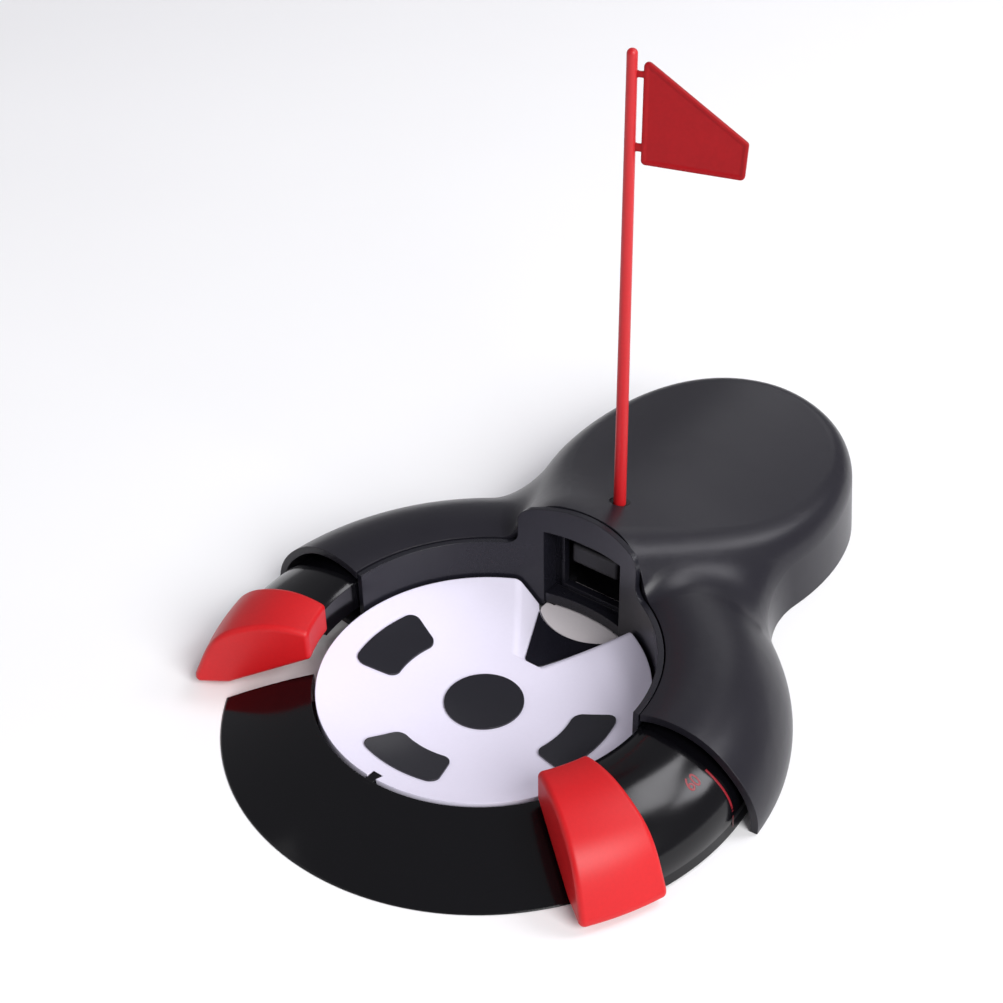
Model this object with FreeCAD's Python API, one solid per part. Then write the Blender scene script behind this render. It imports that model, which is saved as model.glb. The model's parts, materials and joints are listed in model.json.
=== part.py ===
"""Electric ball-return putting cup with two adjustable gates and a lift-out flag.

Frame: millimetres, +Z up, origin at the cup's centre on the floor. The ramp, where the ball comes in,
faces -Y, and the rounded machinery housing is at +Y. Angles are measured about the cup's axis from +X.
"""
import FreeCAD, Part
import math
import os

V = FreeCAD.Vector
X_AXIS = V(1, 0, 0)
Y_AXIS = V(0, 1, 0)
Z_AXIS = V(0, 0, 1)
ORIGIN = V(0, 0, 0)
REACH = 400.0                      # larger than the object, for cutting tools

os.makedirs("parts", exist_ok=True)

# ---- driving dimensions ------------------------------------------------------------------------

# Dish: the shallow white bowl, whose rim is the size of a golf hole
DISH_R = 54.0
DISH_RIM_Z = 12.8
DISH_CENTRE_Z = 3.2
DISH_T = 1.8
SPOT_R = 13.0
PATCH_IN_R = 30.3
PATCH_OUT_R = 45.0
PATCH_HALF_ANGLE = 20.0
PATCH_T = 0.7
PATCH_GAP = 0.03
PATCH_CORNER_R = 3.4

# Ball channel sunk in the dish, which leads to the kicker
CHANNEL_Z = 2.4
CHANNEL_Y0 = 25.0
CHANNEL_HALF_W0 = 3.2
CHANNEL_Y1 = 58.0
CHANNEL_HALF_W1 = 19.4
CHANNEL_SLOPE = 0.72               # sideways run of the channel's walls for each mm of height
CHANNEL_CREST_R = 3.5
BALL_SEAT_Y = 64.5
BALL_SEAT_R = 21.3

# Base plate
BASE_T = 2.2
BASE_CUP_T = 1.2
BASE_CUP_R = 54.6
BASE_RING_R = 90.0

# Cup liner: the upright wall behind the dish, with a raised arch over the kicker
LINER_IN_R = 55.2
LINER_T = 2.0
LINER_OUT_R = LINER_IN_R + LINER_T
LINER_TOP_Z = 27.2
ARCH_HALF_W = 24.3
ARCH_TOP_Z = 44.8
WINDOW_HALF_W = 15.75
WINDOW_TOP_Z = 34.0
PANEL_Y = 60.0
PANEL_T = 2.0
PANEL_HOLE_HALF_W = 11.5
PANEL_HOLE_Z0 = 10.0
PANEL_HOLE_Z1 = 30.0
SILL_Z = 3.4                       # underside of the sill, just over the trigger plate

# Upper housing: a horseshoe round the cup, joined to a rounded lobe behind it
WALL = 2.6
HOUSING_IN_R = 57.7
HOUSING_END_ANGLE = 4.0
HORSESHOE = [(57.0, 27.3), (63.0, 29.0), (71.7, 29.3), (82.5, 26.0), (90.0, 20.3), (95.4, 13.8),
             (98.6, 6.2), (99.0, 0.0)]
LOBE_OUTLINE = [(22.0, 30.0), (29.5, 50.0), (40.3, 72.0), (50.2, 96.0), (54.0, 118.0), (52.2, 143.0),
                (45.8, 161.0), (31.0, 178.0), (0.0, 187.5)]
LOBE_DRAFT = math.tan(math.radians(5))
ROOF_REAR_Z = 34.2                 # the roof is level at the rear
ROOF_RISE = 11.3                   # and swells up over the kicker's arch
ROOF_RISE_Y = 52.0
ROOF_RISE_LEN = 27.0
ROOF_ACROSS_R = 180.0              # its radius across x, which is tighter over the arch
ROOF_ARCH_ACROSS_R = 80.0
# radii that grow along an edge: the lobe's roof edge, from the arch to the rear, and the hollow
# corner between lobe and horseshoe, from the arch to the floor; outside, then inside
LOBE_EDGE_R = [(8.0, 20.0), (4.4, 13.4)]
COVE_R = [(5.0, 36.0), (5.0, 14.0)]

# Ramp in front of the cup
RAMP_IN_R = 55.2
RAMP_IN_Z = 12.4
RAMP_OUT_R = 85.4
RAMP_HALF_ANGLE = 57.0
RAMP_T = 1.8

# Gate arms and their red tips; angles are those of the right gate, and the left one is its mirror
ARM_PROFILE = [(57.9, 23.0), (61.0, 24.3), (66.0, 24.6), (72.6, 23.7), (80.0, 21.0), (88.5, 15.3),
               (92.2, 4.2)]
ARM_T = 2.0
ARM_WALL_Z = 12.3
ARM_SKIRT_R = 92.8
ARM_SKIRT_Z = 0.8
ARM_SPAN = 76.0
TIP_SPAN = 16.8
TIP_FRONT_T = 2.0                  # degrees
RIGHT_TIP_FRONT = -35.2
LEFT_TIP_FRONT = -30.2
TIP_PROFILE = [(56.7, 26.2), (63.5, 28.0), (69.5, 28.3), (79.4, 26.2), (84.6, 23.8), (88.9, 20.3),
               (93.2, 13.6), (97.0, 4.9)]
TIP_UNDERSIDE = [(97.2, 1.7), (85.5, 2.5), (56.7, 15.6)]
TIP_ROUND = 1.8
RAIL_R0 = 74.0
RAIL_R1 = 76.0
RAIL_TOP_Z = 13.0
WEB_GAP = 0.3
WEB_SPAN = 14.0

# Flag and its stick
POLE_Y = 74.9
POLE_BOTTOM_Z = 31.0
POLE_TOP_Z = 199.8
POLE_R0 = 2.2
POLE_R1 = 1.65
POLE_SURFACE_Z = 40.2              # top of the socket
SOCKET_GAP = 0.05
SOCKET_R = 3.6
FLAG_ANGLE = 22.5
FLAG_T = 1.4
# in the flag's own plane: distance from the stick's axis, and height
FLAG_OUTLINE = [(3.5, 164.6), (34.6, 162.6), (35.2, 172.9), (34.6, 174.6), (4.6, 196.8), (3.6, 196.6)]
FLAG_TABS = [(191.4, 193.2), (168.6, 171.0)]

# Kicker and its solenoid, on one axis along Y
KICK_Z = 23.5
SOLENOID_Y0 = 84.0
SOLENOID_Y1 = 112.2
SOLENOID_HALF_W = 13.0
SOLENOID_HALF_H = 9.0
SOLENOID_PLATE_T = 1.5
CORE_R = 5.0
CORE_BORE_R = 5.1
ROD_R = 2.5
TAIL_R = 2.0
RETURN_CLIP_Y = 134.0
RETURN_TURNS = 6

# Trigger plate, which the ball's weight tips
TRIGGER_PIN_Y = 66.0
TRIGGER_PIN_Z = 3.6
TRIGGER_PIN_R = 1.0
BUTTON_Y = 78.0
BUTTON_R = 1.2
BUTTON_GAP = 0.2                   # between the plate's rear arm and the microswitch's button

# Batteries
CELL_R = 7.1
CELL_LEN = 50.0
CELL_PITCH = 15.0
CELL_Z = 9.7
CELL_Y0 = 118.0
CONTACT_HALF = 4.4
CONTACT_T = 0.4
BOX_HALF_W = 32.0
BOX_Y0 = 112.6
BOX_Y1 = 173.4
BOX_TOP_Z = 18.6
BOX_WALL = 1.4
BOX_CORNER_R = 5.0
DOOR_HALF_W = 31.0
DOOR_T = 1.6

# Power switch and circuit board
SWITCH_Y = 137.0
SWITCH_Z = 14.0
BOARD_Z = 20.4

# Screws: housing, liner and ramp screws all enter from below
SCREW_R = 1.25
SCREW_HEAD_R = 2.5
HOUSING_SCREWS = [(24.0, 81.0), (42.0, 122.0), (40.5, 152.0)]
LINER_SCREW_R = 59.7
LINER_SCREW_ANGLES = [20.0, 62.0]
RAMP_SCREW_R = 64.0
RAMP_SCREW_ANGLES = [-130.0, -104.0, -76.0, -50.0]

parts = {}


# ---- helpers -----------------------------------------------------------------------------------

def box(x0, x1, y0, y1, z0, z1):
    return Part.makeBox(x1 - x0, y1 - y0, z1 - z0, V(x0, y0, z0))


def cylinder(r, z0, z1, x=0.0, y=0.0):
    return Part.makeCylinder(r, z1 - z0, V(x, y, z0))


def cylinder_y(r, y0, y1, x=0.0, z=0.0):
    return Part.makeCylinder(r, y1 - y0, V(x, y0, z), Y_AXIS)


def cylinder_x(r, x0, x1, y, z):
    return Part.makeCylinder(r, x1 - x0, V(x0, y, z), X_AXIS)


def spline(points):
    curve = Part.BSplineCurve()
    curve.interpolate([V(*p) for p in points])
    return curve.toShape()


def mirror(shape):
    return shape.mirror(ORIGIN, X_AXIS)


def both_sides(shape):
    return shape.fuse(mirror(shape))


def polygon_face(points, z=0.0):
    corners = [V(x, y, z) for x, y in points]
    return Part.Face(Part.makePolygon(corners + corners[:1]))


def inset(points, d):
    """The points of an outline, moved d to the outline's left, or to its inside where it runs anticlockwise."""
    moved = []
    last = len(points) - 1
    for i, (a, b) in enumerate(points):
        before = points[max(i - 1, 0)]
        after = points[min(i + 1, last)]
        run_a = after[0] - before[0]
        run_b = after[1] - before[1]
        length = math.hypot(run_a, run_b)
        moved.append((a - run_b / length * d, b + run_a / length * d))
    return moved


def turned(face, angle0, angle1):
    """Revolve a face in the r-z plane about the cup's axis, from one angle to another."""
    start = face.copy()
    start.rotate(ORIGIN, Z_AXIS, angle0)
    return start.revolve(ORIGIN, Z_AXIS, angle1 - angle0)


def section(points):
    """Closed straight-sided face in the r-z plane."""
    corners = [V(r, 0, z) for r, z in points]
    return Part.Face(Part.makePolygon(corners + corners[:1]))


def section_with_curve(curve_points, line_points):
    """Face in the r-z plane: a smooth curve, closed by straight runs through line_points."""
    curve = spline([(r, 0, z) for r, z in curve_points])
    corners = [V(curve_points[-1][0], 0, curve_points[-1][1])]
    corners += [V(r, 0, z) for r, z in line_points]
    corners += [V(curve_points[0][0], 0, curve_points[0][1])]
    return Part.Face(Part.Wire([curve] + Part.makePolygon(corners).Edges))


def annulus(r0, r1, z0, z1, angle0, angle1):
    return turned(section([(r0, z0), (r1, z0), (r1, z1), (r0, z1)]), angle0, angle1)


def polar(r, angle):
    return r * math.cos(math.radians(angle)), r * math.sin(math.radians(angle))


def single(shape):
    """Merge split faces where that works, and give back the solid itself when there is only one."""
    try:
        clean = shape.removeSplitter()
    except Exception:
        clean = shape
    return clean.Solids[0] if len(clean.Solids) == 1 else clean


def rounded(shape, radius, edges):
    """Fillet the edges, or the shape unchanged if the kernel can't."""
    try:
        result = shape.makeFillet(radius, edges)
    except Exception:
        return shape
    return result if result.isValid() else shape


def group(solids):
    return Part.makeCompound([s for shape in solids for s in shape.Solids])


# ---- upper housing -----------------------------------------------------------------------------

def lobe_wire(d, z):
    half = inset(LOBE_OUTLINE, d)
    half[-1] = (0.0, LOBE_OUTLINE[-1][1] - d)
    points = half + [(-x, y) for x, y in reversed(half[:-1])]
    curve = spline([(x, y, z) for x, y in points])
    front = Part.makeLine(V(-half[0][0], half[0][1], z), V(half[0][0], half[0][1], z))
    return Part.Wire([curve, front])


def roof_z(x, y):
    swell = 1.0 / (1.0 + ((y - ROOF_RISE_Y) / ROOF_RISE_LEN) ** 2)
    across_r = ROOF_ACROSS_R - (ROOF_ACROSS_R - ROOF_ARCH_ACROSS_R) * swell
    return ROOF_REAR_Z + ROOF_RISE * swell - x * x / (2.0 * across_r)


def roof_body(drop):
    """Solid below the lobe's roof, wider than the lobe."""
    rows = []
    for y in range(20, 205, 8):
        rows.append([V(x, y, roof_z(x, y) - drop) for x in range(-75, 76, 15)])
    surface = Part.BSplineSurface()
    surface.interpolate(rows)
    return surface.toShape().extrude(V(0, 0, -80))


def housing_body(side, d, end_angle, inner_r, bottom_z):
    """The housing's outer form for side 0, or for side 1 the space inside it, a wall's thickness d in."""
    half_space = box(0, REACH, -REACH, REACH, -REACH, REACH)
    head = 60.0
    lobe = Part.makeLoft([lobe_wire(d + LOBE_DRAFT * bottom_z, bottom_z),
                          lobe_wire(d + LOBE_DRAFT * head, head)], True, True)
    lobe = lobe.common(roof_body(d)).common(half_space)
    roof_edges = [e for e in lobe.Edges if e.BoundBox.ZMin > 20 and e.BoundBox.XMax > 40 and e.BoundBox.YMax > 150]
    lobe = lobe.makeFillet(*LOBE_EDGE_R[side], roof_edges)
    curve = inset(list(reversed(HORSESHOE)), d)
    curve.reverse()
    curve[-1] = (HORSESHOE[-1][0] - d, bottom_z)
    ring_face = section_with_curve(curve, [(50.0, bottom_z), (50.0, curve[0][1])])
    ring = turned(ring_face, end_angle, 90.0)
    form = ring.fuse(lobe).cut(cylinder(inner_r, -10, 80))
    form = form.makeFillet(*COVE_R[side], cove_edges(form))
    whole = form.fuse(mirror(form))
    return single(whole)


def cove_edges(form):
    """The hollow corner where the lobe rises out of the horseshoe."""
    found = []
    for edge in form.Edges:
        b = edge.BoundBox
        inside = b.XMin > 20 and b.XMax < 50 and b.YMin > 43 and b.YMax < 95
        if inside and 20 < b.ZMax < 32 and b.ZMax - b.ZMin > 3 and edge.Length > 30:
            found.append(edge)
    return found


def make_upper_housing():
    outer = housing_body(0, 0.0, HOUSING_END_ANGLE, HOUSING_IN_R, 0.0)
    space = housing_body(1, WALL, HOUSING_END_ANGLE - 6.0, HOUSING_IN_R - 0.7, -1.0)
    shell = outer.cut(space)
    for x, y in HOUSING_SCREWS:
        for side in (-1, 1):
            boss = cylinder(3.6, BASE_T, 60, side * x, y).common(outer)
            shell = shell.fuse(boss)
    for x, y in HOUSING_SCREWS:
        for side in (-1, 1):
            shell = shell.cut(cylinder(SCREW_R, -1, 12, side * x, y))
    sleeve_boss = cylinder(SOCKET_R + 1.6, POLE_BOTTOM_Z - 0.5, 60, 0, POLE_Y).common(outer)
    shell = shell.fuse(sleeve_boss).cut(cylinder(SOCKET_R, 0, 80, 0, POLE_Y))
    door_way = box(-DOOR_HALF_W - 0.4, DOOR_HALF_W + 0.4, 150, 200, -1, DOOR_T + 0.5)
    switch_slot = box(-60, -45, SWITCH_Y - 6.5, SWITCH_Y + 6.5, SWITCH_Z - 2.6, SWITCH_Z + 2.6)
    return single(shell.cut(door_way).cut(switch_slot))


# ---- cup: dish, its markings, liner and ramp -----------------------------------------------------

def bowl_z(r):
    return DISH_CENTRE_Z + (DISH_RIM_Z - DISH_CENTRE_Z) * (r / DISH_R) ** 2


def bowl_points(lift, r_max, steps=9):
    return [(r_max * i / steps, bowl_z(r_max * i / steps) + lift) for i in range(steps + 1)]


def bowl_layer(low, high, r_max):
    """Solid between two copies of the bowl's surface, moved up by low and by high."""
    under = bowl_points(low, r_max)
    over = bowl_points(high, r_max)
    lower = spline([(r, 0, z) for r, z in under])
    upper = spline([(r, 0, z) for r, z in over])
    sides = [Part.makeLine(V(r_max, 0, under[-1][1]), V(r_max, 0, over[-1][1])),
             Part.makeLine(V(0, 0, under[0][1]), V(0, 0, over[0][1]))]
    face = Part.Face(Part.Wire(Part.__sortEdges__([lower, upper] + sides)))
    return face.revolve(ORIGIN, Z_AXIS, 360)


def channel_outline(spread, y_end):
    slope = (CHANNEL_HALF_W1 - CHANNEL_HALF_W0) / (CHANNEL_Y1 - CHANNEL_Y0)
    far = CHANNEL_HALF_W0 + slope * (y_end - CHANNEL_Y0) + spread
    return [(-CHANNEL_HALF_W0 - spread, CHANNEL_Y0 - spread), (CHANNEL_HALF_W0 + spread, CHANNEL_Y0 - spread),
            (far, y_end), (-far, y_end)]


def channel_body(grow, z0, z1):
    """Flared wedge that is the ball channel, or the channel's walls when grown by their thickness."""
    wires = []
    for z in (z0, z1):
        spread = grow + (z - CHANNEL_Z) * CHANNEL_SLOPE
        corners = [V(x, y, z) for x, y in channel_outline(spread, CHANNEL_Y1 + 2)]
        wires.append(Part.makePolygon(corners + corners[:1]))
    return Part.makeLoft(wires, True, True)


def make_dish():
    bowl = bowl_layer(-DISH_T, 0.0, DISH_R)
    skirt = annulus(DISH_R - 1.6, DISH_R, BASE_CUP_T, DISH_RIM_Z - 1.0, 0, 360)
    below = bowl_layer(-20.0, 0.0, DISH_R)
    walls = channel_body(DISH_T, BASE_CUP_T + 0.1, 16.0).common(below)
    dish = bowl.fuse(skirt).fuse(walls).cut(channel_body(0.0, CHANNEL_Z, 20.0))
    crest = [e for e in dish.Edges if e.BoundBox.ZMax > 10 and e.BoundBox.YMin > 18 and e.BoundBox.YMax > 44
             and e.Length > 20 and e.BoundBox.ZMin > 3.5 and e.BoundBox.ZMin < 9]
    dish = rounded(dish, CHANNEL_CREST_R, crest)
    dish = dish.cut(cylinder(BALL_SEAT_R, 0, CHANNEL_Z + 1, 0, BALL_SEAT_Y))
    dish = dish.cut(box(-1.8, 1.8, -DISH_R - 1, -50.9, 9.0, 14.0))
    return single(dish)


def patch_plan(angle):
    """Upright prism with the plan of one curved four-sided patch, centred on an angle."""
    prism = annulus(PATCH_IN_R, PATCH_OUT_R, 0, 30, angle - PATCH_HALF_ANGLE, angle + PATCH_HALF_ANGLE)
    uprights = [e for e in prism.Edges if e.BoundBox.ZMax - e.BoundBox.ZMin > 29]
    return rounded(prism, PATCH_CORNER_R, uprights)


def make_patch(angle):
    return single(bowl_layer(PATCH_GAP, PATCH_T, DISH_R - 4).common(patch_plan(angle)))


def make_rear_patch():
    outline = channel_outline(-0.25, CHANNEL_Y1)
    prism = polygon_face(outline, CHANNEL_Z).extrude(V(0, 0, 0.4))
    near = [e for e in prism.Edges if e.BoundBox.ZMax - e.BoundBox.ZMin > 0.3 and e.BoundBox.YMax < 30]
    prism = rounded(prism, 2.4, near)
    return single(prism.cut(cylinder(BALL_SEAT_R + 0.2, 0, 10, 0, BALL_SEAT_Y)))


def liner_front_outline(y0, y1):
    """Prism along Y whose upper outline is the liner's top edge with its raised arch."""
    step_r = 4.0
    corner_r = 5.0
    shoulder = ARCH_HALF_W - corner_r
    shoulder_z = 37.2
    foot = ARCH_HALF_W + step_r
    low = -10.0
    side = 90.0
    diag = math.sqrt(0.5)

    def at(x, z):
        return V(x, y0, z)

    right_step = Part.Arc(at(foot, LINER_TOP_Z), at(foot - step_r * diag, LINER_TOP_Z + step_r * (1 - diag)),
                          at(ARCH_HALF_W, LINER_TOP_Z + step_r)).toShape()
    right_corner = Part.Arc(at(ARCH_HALF_W, shoulder_z),
                            at(shoulder + corner_r * diag, shoulder_z + corner_r * diag),
                            at(shoulder + 0.6, shoulder_z + corner_r)).toShape()
    crown = Part.Arc(at(shoulder + 0.6, shoulder_z + corner_r), at(0, ARCH_TOP_Z),
                     at(-shoulder - 0.6, shoulder_z + corner_r)).toShape()
    right = [Part.makeLine(at(side, low), at(side, LINER_TOP_Z)),
             Part.makeLine(at(side, LINER_TOP_Z), at(foot, LINER_TOP_Z)),
             right_step,
             Part.makeLine(at(ARCH_HALF_W, LINER_TOP_Z + step_r), at(ARCH_HALF_W, shoulder_z)),
             right_corner]
    left = [mirror(e) for e in right]
    bottom = Part.makeLine(at(-side, low), at(side, low))
    wire = Part.Wire(Part.__sortEdges__(right + [crown] + left + [bottom]))
    return Part.Face(wire).extrude(V(0, y1 - y0, 0))


def make_cup_liner():
    end = HOUSING_END_ANGLE
    wall = annulus(LINER_IN_R, LINER_OUT_R, BASE_T, 60, end, 180 - end).common(liner_front_outline(0, 80))
    foot = annulus(LINER_OUT_R - 0.5, 61.5, BASE_T, BASE_T + 2.0, end + 2, 178 - end)
    liner = wall.fuse(foot)
    for angle in LINER_SCREW_ANGLES:
        x, y = polar(LINER_SCREW_R, angle)
        liner = liner.fuse(both_sides(cylinder(2.4, BASE_T, 9.0, x, y)))
    jamb = 1.5
    tunnel = box(-WINDOW_HALF_W - jamb, WINDOW_HALF_W + jamb, 50, PANEL_Y, BASE_T, WINDOW_TOP_Z + jamb)
    tunnel = tunnel.cut(cylinder(LINER_IN_R, -1, 80))
    window = box(-WINDOW_HALF_W, WINDOW_HALF_W, 40, 70, -1, WINDOW_TOP_Z)
    liner = liner.fuse(tunnel).cut(window)
    for angle in LINER_SCREW_ANGLES:
        x, y = polar(LINER_SCREW_R, angle)
        liner = liner.cut(both_sides(cylinder(SCREW_R, 0, 8.0, x, y)))
    return single(liner)


def make_ramp():
    crown = 0.6
    middle = ((RAMP_IN_R + RAMP_OUT_R) / 2, RAMP_IN_Z / 2 + crown)
    top = [(RAMP_IN_R, RAMP_IN_Z), middle, (RAMP_OUT_R, 0.0)]
    under_in_z = RAMP_IN_Z - RAMP_T - 0.9
    inner = RAMP_IN_R + RAMP_T
    angle0 = -90 - RAMP_HALF_ANGLE
    angle1 = -90 + RAMP_HALF_ANGLE
    shell = turned(section_with_curve(top, [(RAMP_OUT_R - 4.6, 0), (inner, under_in_z), (inner, 0), (RAMP_IN_R, 0)]),
                   angle0, angle1)
    solid = section_with_curve(top, [(RAMP_IN_R, 0)])
    end_wall = 1.6
    rim_gap = section([(RAMP_IN_R - 5, -1), (68.6, -1), (68.6, BASE_T), (RAMP_IN_R - 5, BASE_T)])
    ramp = shell.fuse(turned(solid, angle0, angle0 + end_wall)).fuse(turned(solid, angle1 - end_wall, angle1))
    ramp = ramp.cut(turned(rim_gap, angle0 - 1, angle1 + 1))
    body = turned(solid, angle0, angle1)
    for angle in RAMP_SCREW_ANGLES:
        x, y = polar(RAMP_SCREW_R, angle)
        ramp = ramp.fuse(cylinder(3.0, BASE_T, 20, x, y).common(body))
    for angle in RAMP_SCREW_ANGLES:
        x, y = polar(RAMP_SCREW_R, angle)
        ramp = ramp.cut(cylinder(SCREW_R, -1, 6.4, x, y))
    tab = box(-1.5, 1.5, -RAMP_IN_R - 1, -51.2, 10.4, 12.1)
    return single(ramp.fuse(tab))


# ---- gates -------------------------------------------------------------------------------------

def arm_section():
    inner = inset(list(reversed(ARM_PROFILE)), ARM_T)
    inner[0] = (ARM_PROFILE[-1][0] - ARM_T, ARM_PROFILE[-1][1])
    inner[-1] = (ARM_PROFILE[0][0] + ARM_T, ARM_PROFILE[0][1] - ARM_T)
    outer_curve = spline([(r, 0, z) for r, z in ARM_PROFILE])
    inner_curve = spline([(r, 0, z) for r, z in inner])
    hem = Part.makePolygon([V(*p) for p in (
        (ARM_PROFILE[-1][0], 0, ARM_PROFILE[-1][1]), (ARM_SKIRT_R, 0, ARM_SKIRT_Z),
        (ARM_SKIRT_R - 2.3, 0, ARM_SKIRT_Z), (inner[0][0], 0, inner[0][1]))])
    wall = Part.makePolygon([V(inner[-1][0], 0, inner[-1][1]), V(inner[-1][0], 0, ARM_WALL_Z),
                             V(ARM_PROFILE[0][0], 0, ARM_WALL_Z), V(ARM_PROFILE[0][0], 0, ARM_PROFILE[0][1])])
    return Part.Face(Part.Wire([outer_curve] + hem.Edges + [inner_curve] + wall.Edges))


def tip_pocket_section(gap):
    """Inside of a tip: the arm's own profile, opened by a gap, above the tip's sloping floor."""
    curve = inset(list(reversed(ARM_PROFILE)), -gap)
    curve.reverse()
    return section_with_curve(curve, [(87.0, 4.4), (curve[0][0], 17.6)])


def make_right_arm(tip_front):
    start = tip_front + TIP_FRONT_T
    sleeve_end = tip_front + TIP_SPAN
    tail = start + ARM_SPAN
    arm = turned(arm_section(), sleeve_end, tail)
    tongue = turned(arm_section(), start, sleeve_end).common(
        turned(tip_pocket_section(0.0), start, sleeve_end))
    filled = section_with_curve(ARM_PROFILE, [(ARM_PROFILE[-1][0], BASE_T + WEB_GAP),
                                              (ARM_PROFILE[0][0], BASE_T + WEB_GAP)])
    body = turned(filled, tail - WEB_SPAN, tail)
    arm = arm.fuse(tongue)
    web_t = 2.0
    for r0 in (RAIL_R0 - WEB_GAP - web_t, RAIL_R1 + WEB_GAP):
        arm = arm.fuse(annulus(r0, r0 + web_t, 0, 40, tail - WEB_SPAN, tail).common(body))
    return single(arm)


def make_right_tip(tip_front):
    tip = turned(section_with_curve(TIP_PROFILE, TIP_UNDERSIDE), tip_front, tip_front + TIP_SPAN)
    tip = rounded(tip, TIP_ROUND, tip.Edges)
    pocket = turned(tip_pocket_section(0.12), tip_front + TIP_FRONT_T, tip_front + TIP_SPAN + 1)
    return single(tip.cut(pocket))


# ---- base plate and battery door ---------------------------------------------------------------

def rear_uprights(body):
    return [e for e in body.Edges if e.BoundBox.ZLength > 10 and e.BoundBox.YMin > BOX_Y1 - 3]


def make_base_plate():
    end = HOUSING_END_ANGLE + 1.0
    plate = cylinder(BASE_CUP_R, 0, BASE_CUP_T)
    plate = plate.fuse(annulus(BASE_CUP_R - 0.2, BASE_RING_R, 0, BASE_T, end, 180 - end))
    plate = plate.fuse(annulus(BASE_CUP_R - 0.2, 68.0, 0, BASE_T, -88 - RAMP_HALF_ANGLE, -92 + RAMP_HALF_ANGLE))
    lobe = Part.Face(lobe_wire(WALL + 1.0, 0)).extrude(V(0, 0, BASE_T)).cut(cylinder(BASE_CUP_R, -1, 10))
    plate = plate.fuse(lobe)
    plate = plate.cut(both_sides(annulus(BASE_RING_R, BASE_RING_R + 5, -1, BASE_T + 1, 40, 66)))
    rail = annulus(RAIL_R0, RAIL_R1, BASE_T - 0.5, RAIL_TOP_Z, end + 1, 64)
    plate = plate.fuse(both_sides(rail))
    holder = box(-BOX_HALF_W, BOX_HALF_W, BOX_Y0, BOX_Y1, BASE_T - 0.2, BOX_TOP_Z)
    cells = box(-BOX_HALF_W + BOX_WALL, BOX_HALF_W - BOX_WALL, BOX_Y0 + BOX_WALL, BOX_Y1 - BOX_WALL, -1,
                BOX_TOP_Z - BOX_WALL)
    holder = rounded(holder, BOX_CORNER_R, rear_uprights(holder))
    cells = rounded(cells, BOX_CORNER_R - BOX_WALL, rear_uprights(cells))
    door_room = box(-DOOR_HALF_W - 0.3, DOOR_HALF_W + 0.3, BOX_Y0 + 0.4, 200, -1, DOOR_T + 0.3)
    plate = plate.fuse(holder).cut(cells).cut(door_room)
    plate = plate.fuse(both_sides(box(10.0, 12.0, SOLENOID_Y0 + 2, SOLENOID_Y1 - 2, BASE_T - 0.2,
                                      KICK_Z - SOLENOID_HALF_H)))
    seat = cylinder(BALL_SEAT_R + 1.0, -1, 10, 0, BALL_SEAT_Y).common(box(-18.5, 18.5, 40, 57, -1, 10))
    plate = plate.cut(seat).cut(box(-12.9, 12.9, 55, 69.8, -1, 10))
    ear = box(13.1, 15.1, 63.2, 68.8, BASE_T - 0.2, 6.2)
    plate = plate.fuse(both_sides(ear)).cut(cylinder_x(TRIGGER_PIN_R, -16, 16, TRIGGER_PIN_Y, TRIGGER_PIN_Z))
    for x in (-15.5, 15.5):
        plate = plate.fuse(cylinder(2.2, BOX_TOP_Z - 0.2, BOARD_Z, x, 147.0))
        plate = plate.fuse(cylinder(2.2, BOX_TOP_Z - 0.2, BOARD_Z, x, 163.0))
    switch_post = box(6.0, 15.0, 81.0, 83.0, BASE_T - 0.2, 12.0)
    plate = plate.fuse(switch_post)
    for x, y in screw_places():
        plate = plate.cut(cylinder(1.5, -1, BASE_T + 1, x, y)).cut(cylinder(SCREW_HEAD_R + 0.2, -1, 1.3, x, y))
    return single(plate)


def screw_places():
    places = [(side * x, y) for x, y in HOUSING_SCREWS for side in (-1, 1)]
    places += [(side * polar(LINER_SCREW_R, a)[0], polar(LINER_SCREW_R, a)[1])
               for a in LINER_SCREW_ANGLES for side in (-1, 1)]
    places += [polar(RAMP_SCREW_R, a) for a in RAMP_SCREW_ANGLES]
    return places


def make_battery_door():
    rear = Part.Face(lobe_wire(0.4, 0.2)).extrude(V(0, 0, DOOR_T - 0.2))
    door = box(-DOOR_HALF_W, DOOR_HALF_W, BOX_Y0 + 0.8, 200, 0.2, DOOR_T).common(rear)
    for i in range(5):
        y = 172.0 + 2.4 * i
        door = door.cut(box(-9, 9, y, y + 1.1, -1, 0.7))
    return single(door)


# ---- flag --------------------------------------------------------------------------------------

def make_flag_pole():
    stick = Part.makeCone(POLE_R0, POLE_R1, POLE_TOP_Z - POLE_BOTTOM_Z, V(0, POLE_Y, POLE_BOTTOM_Z))
    top = [e for e in stick.Edges if e.BoundBox.ZMin > POLE_TOP_Z - 1]
    return rounded(stick, POLE_R1 * 0.9, top)


def make_flag():
    """Plate in the upright plane through the stick, held to it by two small tabs."""
    plate = polygon_face(FLAG_OUTLINE).extrude(V(0, 0, FLAG_T))
    plate = rounded(plate, 1.0, [e for e in plate.Edges if e.BoundBox.ZLength > FLAG_T - 0.1])
    plate.translate(V(0, 0, -FLAG_T / 2))
    plate.rotate(ORIGIN, X_AXIS, 90)
    for low, high in FLAG_TABS:
        plate = plate.fuse(box(0, 4.2, -0.6, 0.6, low, high))
    plate = plate.cut(Part.makeCone(POLE_R0, POLE_R1, POLE_TOP_Z - POLE_BOTTOM_Z, V(0, 0, POLE_BOTTOM_Z)))
    plate.rotate(ORIGIN, Z_AXIS, FLAG_ANGLE)
    plate.translate(V(0, POLE_Y, 0))
    return single(plate)


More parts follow.
